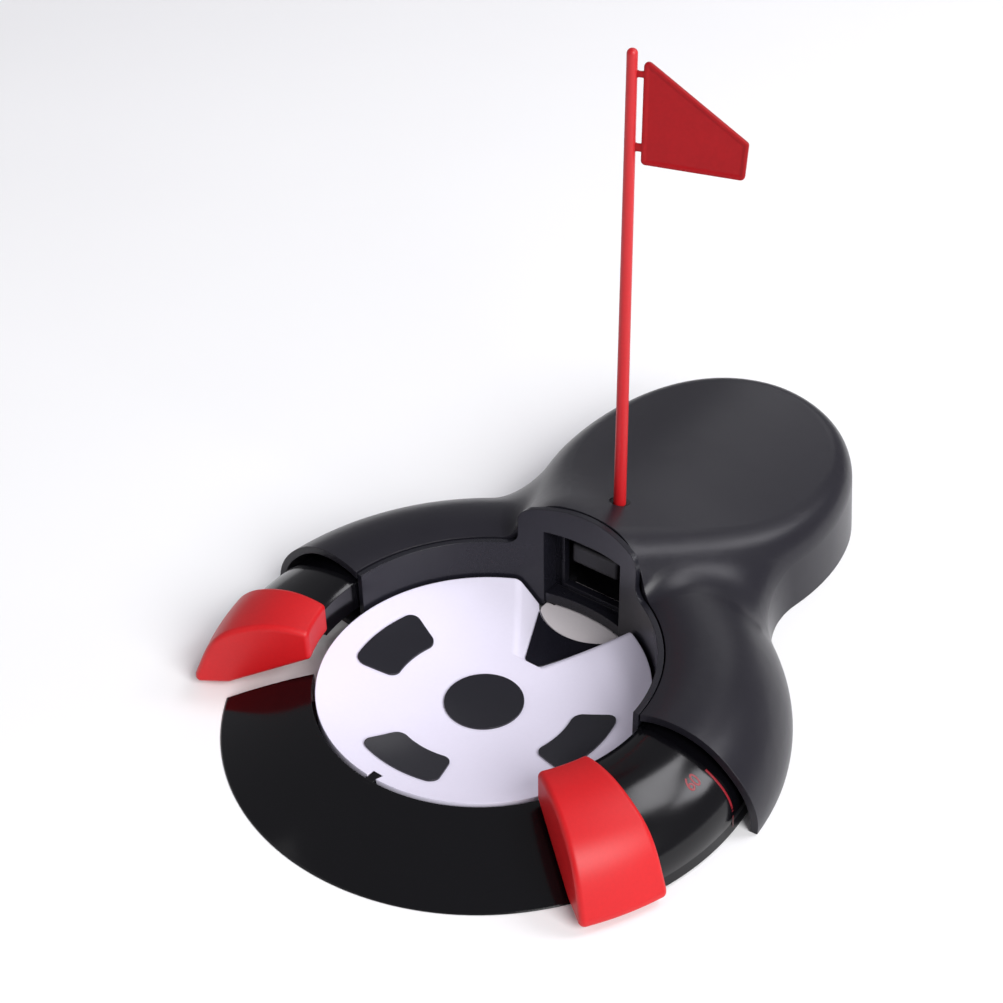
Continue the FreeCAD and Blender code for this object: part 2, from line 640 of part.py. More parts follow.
def make_flag_socket():
    floor = 1.5
    top = POLE_SURFACE_Z
    sleeve = cylinder(SOCKET_R, POLE_BOTTOM_Z - floor, top, 0, POLE_Y)
    collar = cylinder(SOCKET_R + 1.4, POLE_BOTTOM_Z - floor, POLE_BOTTOM_Z - 0.5, 0, POLE_Y)
    bore = cylinder(POLE_R0 + SOCKET_GAP, POLE_BOTTOM_Z, top + 5, 0, POLE_Y)
    return single(sleeve.fuse(collar).cut(bore))


# ---- kicker ------------------------------------------------------------------------------------

def make_kicker_panel():
    panel = box(-19, 19, PANEL_Y, PANEL_Y + PANEL_T, 6.6, 37.0)
    hole = box(-PANEL_HOLE_HALF_W, PANEL_HOLE_HALF_W, 50, 70, PANEL_HOLE_Z0, PANEL_HOLE_Z1)
    lip = box(-PANEL_HOLE_HALF_W - 1.2, PANEL_HOLE_HALF_W + 1.2, PANEL_Y - 0.8, PANEL_Y + 0.1,
              PANEL_HOLE_Z0 - 1.2, PANEL_HOLE_Z1 + 1.2)
    sill = annulus(LINER_IN_R + 0.5, LINER_IN_R + 12, SILL_Z, 7.4, 50, 130)
    sill = sill.common(box(-WINDOW_HALF_W + 0.2, WINDOW_HALF_W - 0.2, 40, PANEL_Y + PANEL_T, 0, 10))
    return single(panel.fuse(lip).cut(hole).fuse(sill))


def make_kicker_pad():
    bar = box(-9.5, 9.5, PANEL_Y + 0.6, PANEL_Y + 4.6, KICK_Z - 4.0, KICK_Z + 4.0)
    bar = rounded(bar, 1.2, bar.Edges)
    hub = cylinder_y(4.3, PANEL_Y + 4.0, PANEL_Y + 8.5, 0, KICK_Z)
    return single(bar.fuse(hub).cut(cylinder_y(ROD_R, PANEL_Y + 3.4, PANEL_Y + 20, 0, KICK_Z)))


def make_plunger():
    rod = cylinder_y(ROD_R, PANEL_Y + 3.4, 93.0, 0, KICK_Z)
    core = cylinder_y(CORE_R, 92.0, 110.0, 0, KICK_Z)
    tail = cylinder_y(TAIL_R, 109.0, RETURN_CLIP_Y + 2.5, 0, KICK_Z)
    groove = cylinder_y(TAIL_R + 1, RETURN_CLIP_Y, RETURN_CLIP_Y + 1.0, 0, KICK_Z).cut(
        cylinder_y(TAIL_R - 0.4, RETURN_CLIP_Y, RETURN_CLIP_Y + 1.0, 0, KICK_Z))
    return single(rod.fuse(core).fuse(tail).cut(groove))


def make_spring_clip():
    return cylinder_y(4.6, RETURN_CLIP_Y, RETURN_CLIP_Y + 1.0, 0, KICK_Z).cut(
        cylinder_y(TAIL_R - 0.4, RETURN_CLIP_Y - 1, RETURN_CLIP_Y + 2, 0, KICK_Z))


def coil_spring(mean_r, wire_r, length, turns):
    """Compression spring along +Z, standing on the origin."""
    run = length - 2 * wire_r
    path = Part.Wire(Part.makeHelix(run / turns, run, mean_r))
    path.translate(V(0, 0, wire_r))
    along = V(0, 2 * math.pi * mean_r, run / turns)
    profile = Part.Wire(Part.makeCircle(wire_r, V(mean_r, 0, wire_r), along))
    return path.makePipeShell([profile], True, True)


def make_return_spring():
    spring = coil_spring(3.4, 0.3, RETURN_CLIP_Y - SOLENOID_Y1 - 0.1, RETURN_TURNS)
    spring.rotate(ORIGIN, X_AXIS, -90)
    spring.translate(V(0, SOLENOID_Y1 + 0.05, KICK_Z))
    return spring


def make_solenoid_frame():
    w = SOLENOID_HALF_W
    h = SOLENOID_HALF_H
    t = SOLENOID_PLATE_T
    frame = box(-w, w, SOLENOID_Y0, SOLENOID_Y1, KICK_Z - h, KICK_Z + h)
    frame = frame.cut(box(-w - 1, w + 1, SOLENOID_Y0 + t, SOLENOID_Y1 - t, KICK_Z - h + t, KICK_Z + h - t))
    frame = frame.cut(cylinder_y(CORE_BORE_R + 0.1, SOLENOID_Y0 - 1, SOLENOID_Y0 + 5, 0, KICK_Z))
    return single(frame.cut(cylinder_y(TAIL_R + 0.1, SOLENOID_Y1 - 5, SOLENOID_Y1 + 1, 0, KICK_Z)))


def make_solenoid_bobbin():
    y0 = SOLENOID_Y0 + SOLENOID_PLATE_T
    y1 = SOLENOID_Y1 - SOLENOID_PLATE_T
    tube = cylinder_y(CORE_BORE_R + 0.8, y0, y1, 0, KICK_Z)
    flange_r = SOLENOID_HALF_H - SOLENOID_PLATE_T
    tube = tube.fuse(cylinder_y(flange_r, y0, y0 + 1.2, 0, KICK_Z)).fuse(cylinder_y(flange_r, y1 - 1.2, y1, 0, KICK_Z))
    return single(tube.cut(cylinder_y(CORE_BORE_R, y0 - 1, y1 + 1, 0, KICK_Z)))


def make_solenoid_coil():
    y0 = SOLENOID_Y0 + SOLENOID_PLATE_T + 1.2
    y1 = SOLENOID_Y1 - SOLENOID_PLATE_T - 1.2
    coil = cylinder_y(SOLENOID_HALF_H - SOLENOID_PLATE_T - 0.3, y0, y1, 0, KICK_Z)
    return coil.cut(cylinder_y(CORE_BORE_R + 0.8, y0 - 1, y1 + 1, 0, KICK_Z))


# ---- trigger -----------------------------------------------------------------------------------

def make_trigger_plate():
    top = CHANNEL_Z + 0.2
    plate = polygon_face(channel_outline(-0.5, 54.6), top - 1.1).extrude(V(0, 0, 1.1))
    plate = plate.common(cylinder(BALL_SEAT_R - 0.3, 0, 10, 0, BALL_SEAT_Y))
    plate = plate.common(box(-WINDOW_HALF_W + 0.3, WINDOW_HALF_W - 0.3, 40, 70, 0, 10))
    plate = plate.fuse(box(-12.3, 12.3, 54.0, 65.0, top - 1.1, top))
    barrel = cylinder_x(2.0, -12.3, 12.3, TRIGGER_PIN_Y, TRIGGER_PIN_Z)
    arm = box(6.5, 12.3, TRIGGER_PIN_Y, 80.0, TRIGGER_PIN_Z - 0.6, TRIGGER_PIN_Z + 0.8)
    plate = plate.fuse(barrel).fuse(arm)
    return single(plate.cut(cylinder_x(TRIGGER_PIN_R + 0.05, -20, 20, TRIGGER_PIN_Y, TRIGGER_PIN_Z)))


def make_trigger_pin():
    return cylinder_x(TRIGGER_PIN_R, -15.1, 15.1, TRIGGER_PIN_Y, TRIGGER_PIN_Z)


def make_microswitch():
    body = box(6.4, 12.4, 70.5, 81.0, 6.2, 12.0)
    body = body.cut(cylinder(BUTTON_R + 0.05, 5, 8.4, 9.4, BUTTON_Y))
    legs = [box(8.9, 9.9, y, y + 1.0, 12.0, 15.0) for y in (71.5, 74.5)]
    for leg in legs:
        body = body.fuse(leg)
    return single(body)


def make_switch_button():
    return cylinder(BUTTON_R, TRIGGER_PIN_Z + 0.8 + BUTTON_GAP, 7.2, 9.4, BUTTON_Y)


# ---- electrics ---------------------------------------------------------------------------------

def cell_centres():
    return [CELL_PITCH * (i - 1.5) for i in range(4)]


def make_batteries():
    cells = []
    for i, x in enumerate(cell_centres()):
        body = cylinder_y(CELL_R, CELL_Y0, CELL_Y0 + CELL_LEN - 1.5, x, CELL_Z)
        nub = cylinder_y(2.7, CELL_Y0 + CELL_LEN - 1.6, CELL_Y0 + CELL_LEN, x, CELL_Z)
        cell = body.fuse(nub)
        if i % 2:
            middle = V(x, CELL_Y0 + CELL_LEN / 2, CELL_Z)
            cell.rotate(middle, Z_AXIS, 180)
        cells.append(single(cell))
    return group(cells)


def make_battery_contacts():
    """Springs at the cells' flat ends, and plates at both ends of the battery box."""
    pieces = []
    front = BOX_Y0 + BOX_WALL
    back = BOX_Y1 - BOX_WALL
    for i, x in enumerate(cell_centres()):
        spring_at_front = i % 2 == 0
        length = CELL_Y0 - front - 0.5 if spring_at_front else back - CELL_Y0 - CELL_LEN - 0.5
        spring = coil_spring(3.2, 0.35, length, 2.5)
        spring.rotate(ORIGIN, X_AXIS, -90)
        spring.translate(V(x, front + CONTACT_T if spring_at_front else CELL_Y0 + CELL_LEN + 0.05, CELL_Z))
        pieces.append(spring)
        for y in (front, back - CONTACT_T):
            pieces.append(box(x - CONTACT_HALF, x + CONTACT_HALF, y, y + CONTACT_T, CELL_Z - CONTACT_HALF,
                              CELL_Z + CONTACT_HALF))
    return group(pieces)


def make_circuit_board():
    board = box(-24, 24, 143, 167, BOARD_Z, BOARD_Z + 1.6)
    for x in (-15.5, 15.5):
        for y in (147.0, 163.0):
            board = board.cut(cylinder(1.1, BOARD_Z - 1, BOARD_Z + 3, x, y))
    return board


def make_board_components():
    top = BOARD_Z + 1.6
    pieces = [cylinder(4.0, top, top + 7.5, -6.0, 154.0), cylinder(4.0, top, top + 7.5, 3.5, 154.0),
              box(10.5, 16.0, 150.5, 159.5, top, top + 1.8), box(-22.5, -17.8, 150, 160, top, top + 6.0),
              box(19.0, 23.0, 151, 158, top, top + 5.5)]
    return group(pieces)


def make_power_switch_body():
    body = box(-47.4, -41.6, SWITCH_Y - 8.0, SWITCH_Y + 8.0, SWITCH_Z - 4.0, SWITCH_Z + 4.0)
    return body.cut(box(-50, -45.2, SWITCH_Y - 5.0, SWITCH_Y + 5.0, SWITCH_Z - 1.6, SWITCH_Z + 1.6))


def make_power_switch_slider():
    stem = box(-48.6, -45.5, SWITCH_Y - 4.5, SWITCH_Y + 0.5, SWITCH_Z - 1.3, SWITCH_Z + 1.3)
    knob = box(-52.4, -47.7, SWITCH_Y - 5.2, SWITCH_Y + 1.2, SWITCH_Z - 2.1, SWITCH_Z + 2.1)
    for i in range(3):
        knob = knob.cut(box(-53, -51.8, SWITCH_Y - 4.2 + 1.8 * i, SWITCH_Y - 3.4 + 1.8 * i, 0, 40))
    return single(stem.fuse(knob))


# ---- screws ------------------------------------------------------------------------------------

def make_screw(length, x, y, z):
    """Flat-headed screw that points up, with its head's face at height z."""
    head = cylinder(SCREW_HEAD_R, z, z + 1.1, x, y)
    shank = cylinder(SCREW_R, z, z + length, x, y)
    cross = box(x - 1.6, x + 1.6, y - 0.3, y + 0.3, z - 1, z + 0.6).fuse(
        box(x - 0.3, x + 0.3, y - 1.6, y + 1.6, z - 1, z + 0.6))
    return single(head.fuse(shank).cut(cross))


def make_board_screws():
    screws = []
    for x in (-15.5, 15.5):
        for y in (147.0, 163.0):
            screw = cylinder(1.1, BOARD_Z, BOARD_Z + 1.6, x, y).fuse(cylinder(2.0, BOARD_Z + 1.6, BOARD_Z + 2.8, x, y))
            screws.append(single(screw))
    return group(screws)


def build():
    parts["upper_housing"] = make_upper_housing()
    parts["base_plate"] = make_base_plate()
    parts["battery_door"] = make_battery_door()
    parts["cup_liner"] = make_cup_liner()
    parts["dish"] = make_dish()
    parts["centre_spot"] = single(bowl_layer(0.0, PATCH_T, SPOT_R))
    parts["right_patch"] = make_patch(0)
    parts["left_patch"] = make_patch(180)
    parts["front_patch"] = make_patch(-90)
    parts["rear_patch"] = make_rear_patch()
    parts["ramp"] = make_ramp()
    parts["right_gate_arm"] = make_right_arm(RIGHT_TIP_FRONT)
    parts["right_gate_tip"] = make_right_tip(RIGHT_TIP_FRONT)
    parts["left_gate_arm"] = mirror(make_right_arm(LEFT_TIP_FRONT))
    parts["left_gate_tip"] = mirror(make_right_tip(LEFT_TIP_FRONT))
    parts["flag_pole"] = make_flag_pole()
    parts["flag"] = make_flag()
    parts["flag_socket"] = make_flag_socket()
    parts["kicker_panel"] = make_kicker_panel()
    parts["kicker_pad"] = make_kicker_pad()
    parts["plunger"] = make_plunger()
    parts["spring_clip"] = make_spring_clip()
    parts["return_spring"] = make_return_spring()
    parts["solenoid_frame"] = make_solenoid_frame()
    parts["solenoid_bobbin"] = make_solenoid_bobbin()
    parts["solenoid_coil"] = make_solenoid_coil()
    parts["trigger_plate"] = make_trigger_plate()
    parts["trigger_pin"] = make_trigger_pin()
    parts["microswitch"] = make_microswitch()
    parts["microswitch_button"] = make_switch_button()
    parts["batteries"] = make_batteries()
    parts["battery_contacts"] = make_battery_contacts()
    parts["circuit_board"] = make_circuit_board()
    parts["board_components"] = make_board_components()
    parts["power_switch_body"] = make_power_switch_body()
    parts["power_switch_slider"] = make_power_switch_slider()
    parts["housing_screws"] = group([make_screw(10.5, side * x, y, 0.2) for x, y in HOUSING_SCREWS
                                     for side in (-1, 1)])
    liner_places = [(side * polar(LINER_SCREW_R, a)[0], polar(LINER_SCREW_R, a)[1])
                    for a in LINER_SCREW_ANGLES for side in (-1, 1)]
    parts["liner_screws"] = group([make_screw(7.0, x, y, 0.2) for x, y in liner_places])
    ramp_places = [polar(RAMP_SCREW_R, a) for a in RAMP_SCREW_ANGLES]
    parts["ramp_screws"] = group([make_screw(5.6, x, y, 0.2) for x, y in ramp_places])
    parts["board_screws"] = make_board_screws()


build()
for name, shape in parts.items():
    if not shape.isValid():
        print("not valid:", name)
    shape.exportStep("parts/" + name + ".step")
    print(name, len(shape.Solids), round(shape.Volume, 1))
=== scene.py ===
import json
import math

import bmesh
import bpy
from mathutils import Matrix, Vector
from mathutils.bvhtree import BVHTree


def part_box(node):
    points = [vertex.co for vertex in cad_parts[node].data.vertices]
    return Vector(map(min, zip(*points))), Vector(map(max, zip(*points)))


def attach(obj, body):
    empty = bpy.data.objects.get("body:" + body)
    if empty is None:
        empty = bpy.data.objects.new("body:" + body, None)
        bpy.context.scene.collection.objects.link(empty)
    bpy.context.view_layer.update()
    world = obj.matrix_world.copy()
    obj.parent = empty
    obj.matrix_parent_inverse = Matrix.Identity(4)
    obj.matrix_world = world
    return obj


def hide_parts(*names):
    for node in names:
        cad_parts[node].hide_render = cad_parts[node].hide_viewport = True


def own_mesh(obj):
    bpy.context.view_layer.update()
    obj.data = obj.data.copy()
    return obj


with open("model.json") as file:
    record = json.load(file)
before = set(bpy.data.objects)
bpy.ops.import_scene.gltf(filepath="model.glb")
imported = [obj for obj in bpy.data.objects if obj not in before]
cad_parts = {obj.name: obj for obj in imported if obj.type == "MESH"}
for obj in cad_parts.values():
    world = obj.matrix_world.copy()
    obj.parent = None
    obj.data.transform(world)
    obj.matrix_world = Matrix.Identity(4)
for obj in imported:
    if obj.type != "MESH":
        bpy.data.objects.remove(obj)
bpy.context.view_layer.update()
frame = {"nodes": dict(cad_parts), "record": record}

NODES = frame["nodes"]
MM = 0.001


# ---- materials ---------------------------------------------------------------------------------

class Shader:
    """A Principled material, built up node by node on coordinates fixed to the piece."""

    def __init__(self, name, **sockets):
        self.material = bpy.data.materials.new(name)
        self.material.use_nodes = True
        self.tree = self.material.node_tree
        self.bsdf = self.tree.nodes["Principled BSDF"]
        for socket, value in sockets.items():
            self.bsdf.inputs[socket.replace("_", " ")].default_value = value
        self.coord = self.add("ShaderNodeTexCoord").outputs["Object"]

    def add(self, kind, inputs=None, **settings):
        node = self.tree.nodes.new(kind)
        for key, value in settings.items():
            setattr(node, key, value)
        for key, value in (inputs or {}).items():
            if isinstance(value, bpy.types.NodeSocket):
                self.tree.links.new(value, node.inputs[key])
            else:
                node.inputs[key].default_value = value
        return node

    def noise(self, scale, detail=2.0, rough=0.5, stretch=None, distortion=0.0):
        vector = self.coord
        if stretch:
            vector = self.add("ShaderNodeMapping", {"Vector": vector, "Scale": stretch}).outputs[0]
        node = self.add("ShaderNodeTexNoise", {"Vector": vector, "Scale": scale, "Detail": detail,
                                               "Roughness": rough, "Distortion": distortion})
        return node.outputs["Fac"]

    def remap(self, value, low, high, to_low, to_high):
        return self.add("ShaderNodeMapRange", {"Value": value, "From Min": low, "From Max": high,
                                               "To Min": to_low, "To Max": to_high}).outputs["Result"]

    def math(self, operation, a, b):
        return self.add("ShaderNodeMath", {0: a, 1: b}, operation=operation).outputs[0]

    def mix(self, factor, a, b):
        node = self.add("ShaderNodeMix", data_type="RGBA")
        for key, value in (("Factor", factor), ("A", a), ("B", b)):
            socket = next(s for s in node.inputs if s.name == key and s.enabled)
            if isinstance(value, bpy.types.NodeSocket):
                self.tree.links.new(value, socket)
            else:
                socket.default_value = value if key == "Factor" else (*value, 1.0)
        return next(s for s in node.outputs if s.enabled)

    def link(self, value, socket):
        self.tree.links.new(value, self.bsdf.inputs[socket])

    def edge_mask(self, radius, threshold):
        """1 where the surface turns within the radius, and the rounded normal itself."""
        bevel = self.add("ShaderNodeBevel", {"Radius": radius}, samples=4).outputs["Normal"]
        flat = self.add("ShaderNodeNewGeometry").outputs["Normal"]
        dot = self.add("ShaderNodeVectorMath", {0: bevel, 1: flat}, operation="DOT_PRODUCT").outputs["Value"]
        return self.remap(dot, 1.0, threshold, 0.0, 1.0), bevel

    def bump(self, height, distance, normal=None, strength=1.0):
        inputs = {"Height": height, "Distance": distance, "Strength": strength}
        if normal is not None:
            inputs["Normal"] = normal
        return self.add("ShaderNodeBump", inputs).outputs["Normal"]


def moulded(name, colour, rough, spread=0.05, grain=1800.0, grain_depth=0.02, wave=90.0, wave_depth=0.01,
            mottle=0.06, edge=0.35, edge_radius=0.45, scratch=0.25, **sockets):
    """Moulded plastic. Depths and the edge's radius are in millimetres."""
    s = Shader(name, **sockets)
    mottled = s.remap(s.noise(45.0, 4.0, 0.55), 0.3, 0.7, 0.0, 1.0)
    fleck = s.remap(s.noise(grain * 0.6, 1.0), 0.35, 0.65, 0.0, 1.0)
    tone = s.math("ADD", s.math("MULTIPLY", mottled, 0.6), s.math("MULTIPLY", fleck, 0.4))
    base = s.mix(tone, [c * (1 - mottle) for c in colour], [c * (1 + mottle) for c in colour])
    mask, rounded = s.edge_mask(edge_radius * MM, 0.75)
    worn = s.math("MULTIPLY", mask, s.remap(s.noise(240.0, 5.0, 0.65), 0.4, 0.62, 0.0, 1.0))
    rubbed = [min(1.0, c * 1.5 + 0.012) for c in colour]
    base = s.mix(s.math("MULTIPLY", worn, edge), base, rubbed)
    s.link(base, "Base Color")
    smear = s.noise(16.0, 6.0, 0.6, distortion=0.7)
    hairline = s.remap(s.noise(12.0, 3.0, 0.7, stretch=(4.0, 130.0, 60.0)), 0.66, 0.74, 0.0, 1.0)
    roughness = s.remap(smear, 0.3, 0.7, rough - spread, rough + spread)
    roughness = s.math("ADD", roughness, s.math("MULTIPLY", worn, 0.10))
    roughness = s.math("ADD", roughness, s.math("MULTIPLY", hairline, 0.12 * scratch))
    s.link(roughness, "Roughness")
    normal = s.bump(s.noise(wave, 2.0), wave_depth * MM, rounded)
    normal = s.bump(s.noise(grain, 3.0, 0.6), grain_depth * MM, normal)
    normal = s.bump(s.math("MULTIPLY", hairline, -1.0), 0.004 * scratch * MM, normal)
    s.link(normal, "Normal")
    return s.material


def metal(name, colour, rough, brushed=(1.0, 60.0, 1.0), **sockets):
    s = Shader(name, Metallic=1.0, **sockets)
    lines = s.noise(30.0, 4.0, 0.6, stretch=brushed)
    stain = s.noise(120.0, 5.0, 0.6)
    s.link(s.mix(s.remap(stain, 0.35, 0.7, 0.0, 1.0), colour, [c * 0.78 for c in colour]), "Base Color")
    s.link(s.remap(lines, 0.3, 0.7, rough - 0.08, rough + 0.12), "Roughness")
    s.link(s.bump(lines, 0.01 * MM, s.edge_mask(0.15 * MM, 0.8)[1]), "Normal")
    return s.material


def winding(name):
    """Fine enamelled wire, wound round an axis along Y."""
    s = Shader(name, Metallic=0.9)
    wave = s.add("ShaderNodeTexWave", {"Vector": s.coord, "Scale": 620.0, "Distortion": 0.6, "Detail": 1.0},
                 bands_direction="Y").outputs["Fac"]
    s.link(s.mix(wave, (0.20, 0.055, 0.018), (0.72, 0.27, 0.10)), "Base Color")
    s.link(s.remap(wave, 0.0, 1.0, 0.5, 0.25), "Roughness")
    s.link(s.bump(wave, 0.12 * MM), "Normal")
    return s.material


def circuit(name):
    """Green solder mask over copper tracks."""
    s = Shader(name)
    cells = s.add("ShaderNodeTexVoronoi", {"Vector": s.coord, "Scale": 420.0}, distance="CHEBYCHEV",
                  feature="DISTANCE_TO_EDGE").outputs["Distance"]
    track = s.remap(cells, 0.05, 0.09, 1.0, 0.0)
    s.link(s.mix(track, (0.012, 0.11, 0.04), (0.03, 0.20, 0.075)), "Base Color")
    s.link(s.remap(s.noise(60.0, 3.0), 0.3, 0.7, 0.28, 0.42), "Roughness")
    s.link(s.bump(track, 0.03 * MM), "Normal")
    return s.material


def cell_wrap(name):
    """Plain shrink-wrapped cells: a dark body with a lighter band round the end."""
    s = Shader(name, Coat_Weight=0.3)
    y = s.add("ShaderNodeSeparateXYZ", {"Vector": s.coord}).outputs["Y"]
    band = s.remap(y, 0.1315, 0.1320, 0.0, 1.0)
    s.link(s.mix(band, (0.55, 0.32, 0.10), (0.03, 0.05, 0.10)), "Base Color")
    s.link(s.remap(s.noise(50.0, 4.0), 0.3, 0.7, 0.22, 0.34), "Roughness")
    s.link(s.bump(s.noise(600.0, 3.0), 0.01 * MM), "Normal")
    return s.material


CHARCOAL = (0.0125, 0.0117, 0.0165)
materials = {
    "housing_plastic": moulded("housing_plastic", CHARCOAL, 0.31, 0.04, grain=2600.0, grain_depth=0.016, wave=60.0,
                               wave_depth=0.02, mottle=0.07, edge=0.4, Specular_IOR_Level=0.3),
    "black_gloss": moulded("black_gloss", (0.0022, 0.0021, 0.003), 0.14, 0.04, grain=900.0, grain_depth=0.0015,
                           wave=70.0, wave_depth=0.006, edge=0.2, Specular_IOR_Level=0.34),
    "liner_black": moulded("liner_black", (0.0100, 0.0098, 0.0145), 0.27, 0.05, grain=1600.0, grain_depth=0.008,
                           edge=0.3, Specular_IOR_Level=0.36),
    "dish_white": moulded("dish_white", (0.80, 0.765, 0.90), 0.32, 0.05, grain=1400.0, grain_depth=0.003,
                          wave=60.0, wave_depth=0.006, mottle=0.012, edge=0.0, scratch=0.5),
    "patch_black": moulded("patch_black", (0.0095, 0.0092, 0.0140), 0.20, 0.04, grain=1200.0, grain_depth=0.003,
                           edge=0.2, edge_radius=0.25),
    "tip_red": moulded("tip_red", (0.54, 0.006, 0.009), 0.42, 0.05, grain=1500.0, grain_depth=0.006, wave=80.0,
                       wave_depth=0.01, mottle=0.05, edge=0.25, edge_radius=0.6, Specular_IOR_Level=0.36),
    "pole_red": moulded("pole_red", (0.50, 0.008, 0.012), 0.40, 0.05, grain=1500.0, grain_depth=0.006,
                        mottle=0.05, edge=0.2, edge_radius=0.2),
    "flag_red": moulded("flag_red", (0.30, 0.003, 0.006), 0.36, 0.05, grain=1300.0, grain_depth=0.006, mottle=0.09,
                        edge=0.7, edge_radius=0.35, Specular_IOR_Level=0.2),
    "socket_rubber": moulded("socket_rubber", (0.010, 0.010, 0.010), 0.6, 0.05, grain=1500.0, grain_depth=0.03),
    "base_plastic": moulded("base_plastic", (0.016, 0.016, 0.019), 0.52, 0.06, grain=1900.0, grain_depth=0.03),
    "switch_plastic": moulded("switch_plastic", (0.03, 0.03, 0.033), 0.5, 0.05, grain=1700.0, grain_depth=0.015),
    "component_black": moulded("component_black", (0.02, 0.02, 0.024), 0.45, 0.06, grain=1700.0, grain_depth=0.01),
    "pad_rubber": moulded("pad_rubber", (0.012, 0.012, 0.014), 0.5, 0.06, grain=1500.0, grain_depth=0.03),
    "bobbin_nylon": moulded("bobbin_nylon", (0.66, 0.63, 0.54), 0.42, 0.05, grain=1400.0, grain_depth=0.01),
    "scale_ink": moulded("scale_ink", (0.25, 0.010, 0.018), 0.30, 0.05, grain=2500.0, grain_depth=0.004, edge=0.0),
    # painted shade: the trigger plate gets the dish's white made darker and warmer, standing in for the shade it
    # sits in under the back wall
    "trigger_grey": moulded("trigger_grey", (0.70, 0.655, 0.67), 0.40, 0.05, grain=1400.0, grain_depth=0.004,
                            mottle=0.02, edge=0.0),
    "steel": metal("steel", (0.56, 0.56, 0.58), 0.32),
    "spring_steel": metal("spring_steel", (0.68, 0.68, 0.70), 0.22),
    "copper_winding": winding("copper_winding"),
    "board_green": circuit("board_green"),
    "battery_wrap": cell_wrap("battery_wrap"),
}


def wear(obj, name):
    obj.data.materials.clear()
    obj.data.materials.append(materials[name])


SLOT_OF = {part["node"]: part["material_slot"] for part in frame["record"]["subparts"]}
for node_name, node in NODES.items():
    wear(node, SLOT_OF[node_name])


# ---- pieces made here ----------------------------------------------------------------------------

def finished(name, bm, material, body, slot, *replaced):
    """The bmesh, in millimetres, as a smooth-shaded piece riding on a body."""
    bmesh.ops.recalc_face_normals(bm, faces=bm.faces)
    mesh = bpy.data.meshes.new(name)
    bm.to_mesh(mesh)
    bm.free()
    mesh.transform(Matrix.Scale(MM, 4))
    mesh.shade_smooth()
    mesh.set_sharp_from_angle(angle=math.radians(35))
    obj = bpy.data.objects.new(name, mesh)
    bpy.context.scene.collection.objects.link(obj)
    wear(obj, material)
    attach(obj, body)
    if replaced:
        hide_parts(*replaced)
    return obj


def loft(bm, loops):
    """Quads between rings of the same number of points, with the first and last ring closed."""
    rings = [[bm.verts.new(p) for p in loop] for loop in loops]
    count = len(rings[0])
    for a, b in zip(rings, rings[1:]):
        for i in range(count):
            j = (i + 1) % count
            bm.faces.new((a[i], a[j], b[j], b[i]))
    bm.faces.new(list(reversed(rings[0])))
    bm.faces.new(rings[-1])


SHARPEST_R = 0.12


def inset_outline(corners, depth, radius, steps=6):
    """A convex outline with rounded corners, moved in by depth; always the same number of points."""
    count = len(corners)
    lines = []
    for i in range(count):
        ax, ay = corners[i]
        bx, by = corners[(i + 1) % count]
        length = math.hypot(bx - ax, by - ay)
        dx, dy = (bx - ax) / length, (by - ay) / length
        lines.append((ax - dy * depth, ay + dx * depth, dx, dy))
    moved = []
    for i in range(count):
        px, py, pdx, pdy = lines[i - 1]
        qx, qy, qdx, qdy = lines[i]
        cross = pdx * qdy - pdy * qdx
        t = ((qx - px) * qdy - (qy - py) * qdx) / cross
        moved.append((px + pdx * t, py + pdy * t))
    r = max(radius - depth, SHARPEST_R)
    points = []
    for i in range(count):
        x, y = moved[i]
        _, _, pdx, pdy = lines[i - 1]
        _, _, qdx, qdy = lines[i]
        turn = math.atan2(pdx * qdy - pdy * qdx, pdx * qdx + pdy * qdy)
        run = r * math.tan(turn / 2)
        cx, cy = x - pdx * run - pdy * r, y - pdy * run + pdx * r
        start = math.atan2(-pdx, pdy)
        for k in range(steps + 1):
            a = start + turn * k / steps
            points.append((cx + r * math.cos(a), cy + r * math.sin(a)))
    return points


# The flag's corners and tabs in its own plane, in millimetres: out from the stick's axis, and up
FLAG_CORNERS = [(3.5, 164.6), (34.6, 162.6), (35.2, 174.2), (3.6, 197.5)]
FLAG_TABS = [(191.4, 193.2), (168.6, 171.0)]
FLAG_ANGLE = 22.5
FLAG_T = 1.4
FLAG_CORNER_R = 1.4
TAB_SECTIONS = [(1.55, 0.25), (2.2, 0.0), (3.0, 0.0), (4.4, 0.2)]      # out from the axis, and how much taller
TAB_HALF_T = 0.55
TAB_CORNER_R = 0.3


def flag():
    """Thin moulded flag: a raised rim round a thinner field, and two tabs that reach the stick."""
    low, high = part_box("flag_pole")
    pole_y = (low.y + high.y) / 2 / MM
    half = FLAG_T / 2
    profile = [(1.9, half - 0.27), (1.5, half - 0.25), (1.15, half - 0.04), (0.95, half), (0.35, half),
               (0.1, half - 0.12), (0.0, half - 0.4)]
    layers = profile + [(depth, -y) for depth, y in reversed(profile)]
    bm = bmesh.new()
    loft(bm, [[(out, y, z) for out, z in inset_outline(FLAG_CORNERS, depth, FLAG_CORNER_R)]
              for depth, y in layers])
    for z0, z1 in FLAG_TABS:
        rows = []
        for out, grow in TAB_SECTIONS:
            section = [(-TAB_HALF_T, z0 - grow), (TAB_HALF_T, z0 - grow), (TAB_HALF_T, z1 + grow),
                       (-TAB_HALF_T, z1 + grow)]
            rows.append([(out, y, z) for y, z in inset_outline(section, 0.0, TAB_CORNER_R, 3)])
        loft(bm, rows)
    bm.transform(Matrix.Translation((0, pole_y, 0)) @ Matrix.Rotation(math.radians(FLAG_ANGLE), 4, "Z"))
    finished("flag_sheet", bm, "flag_red", "flag_stick", "flag_red", "flag")


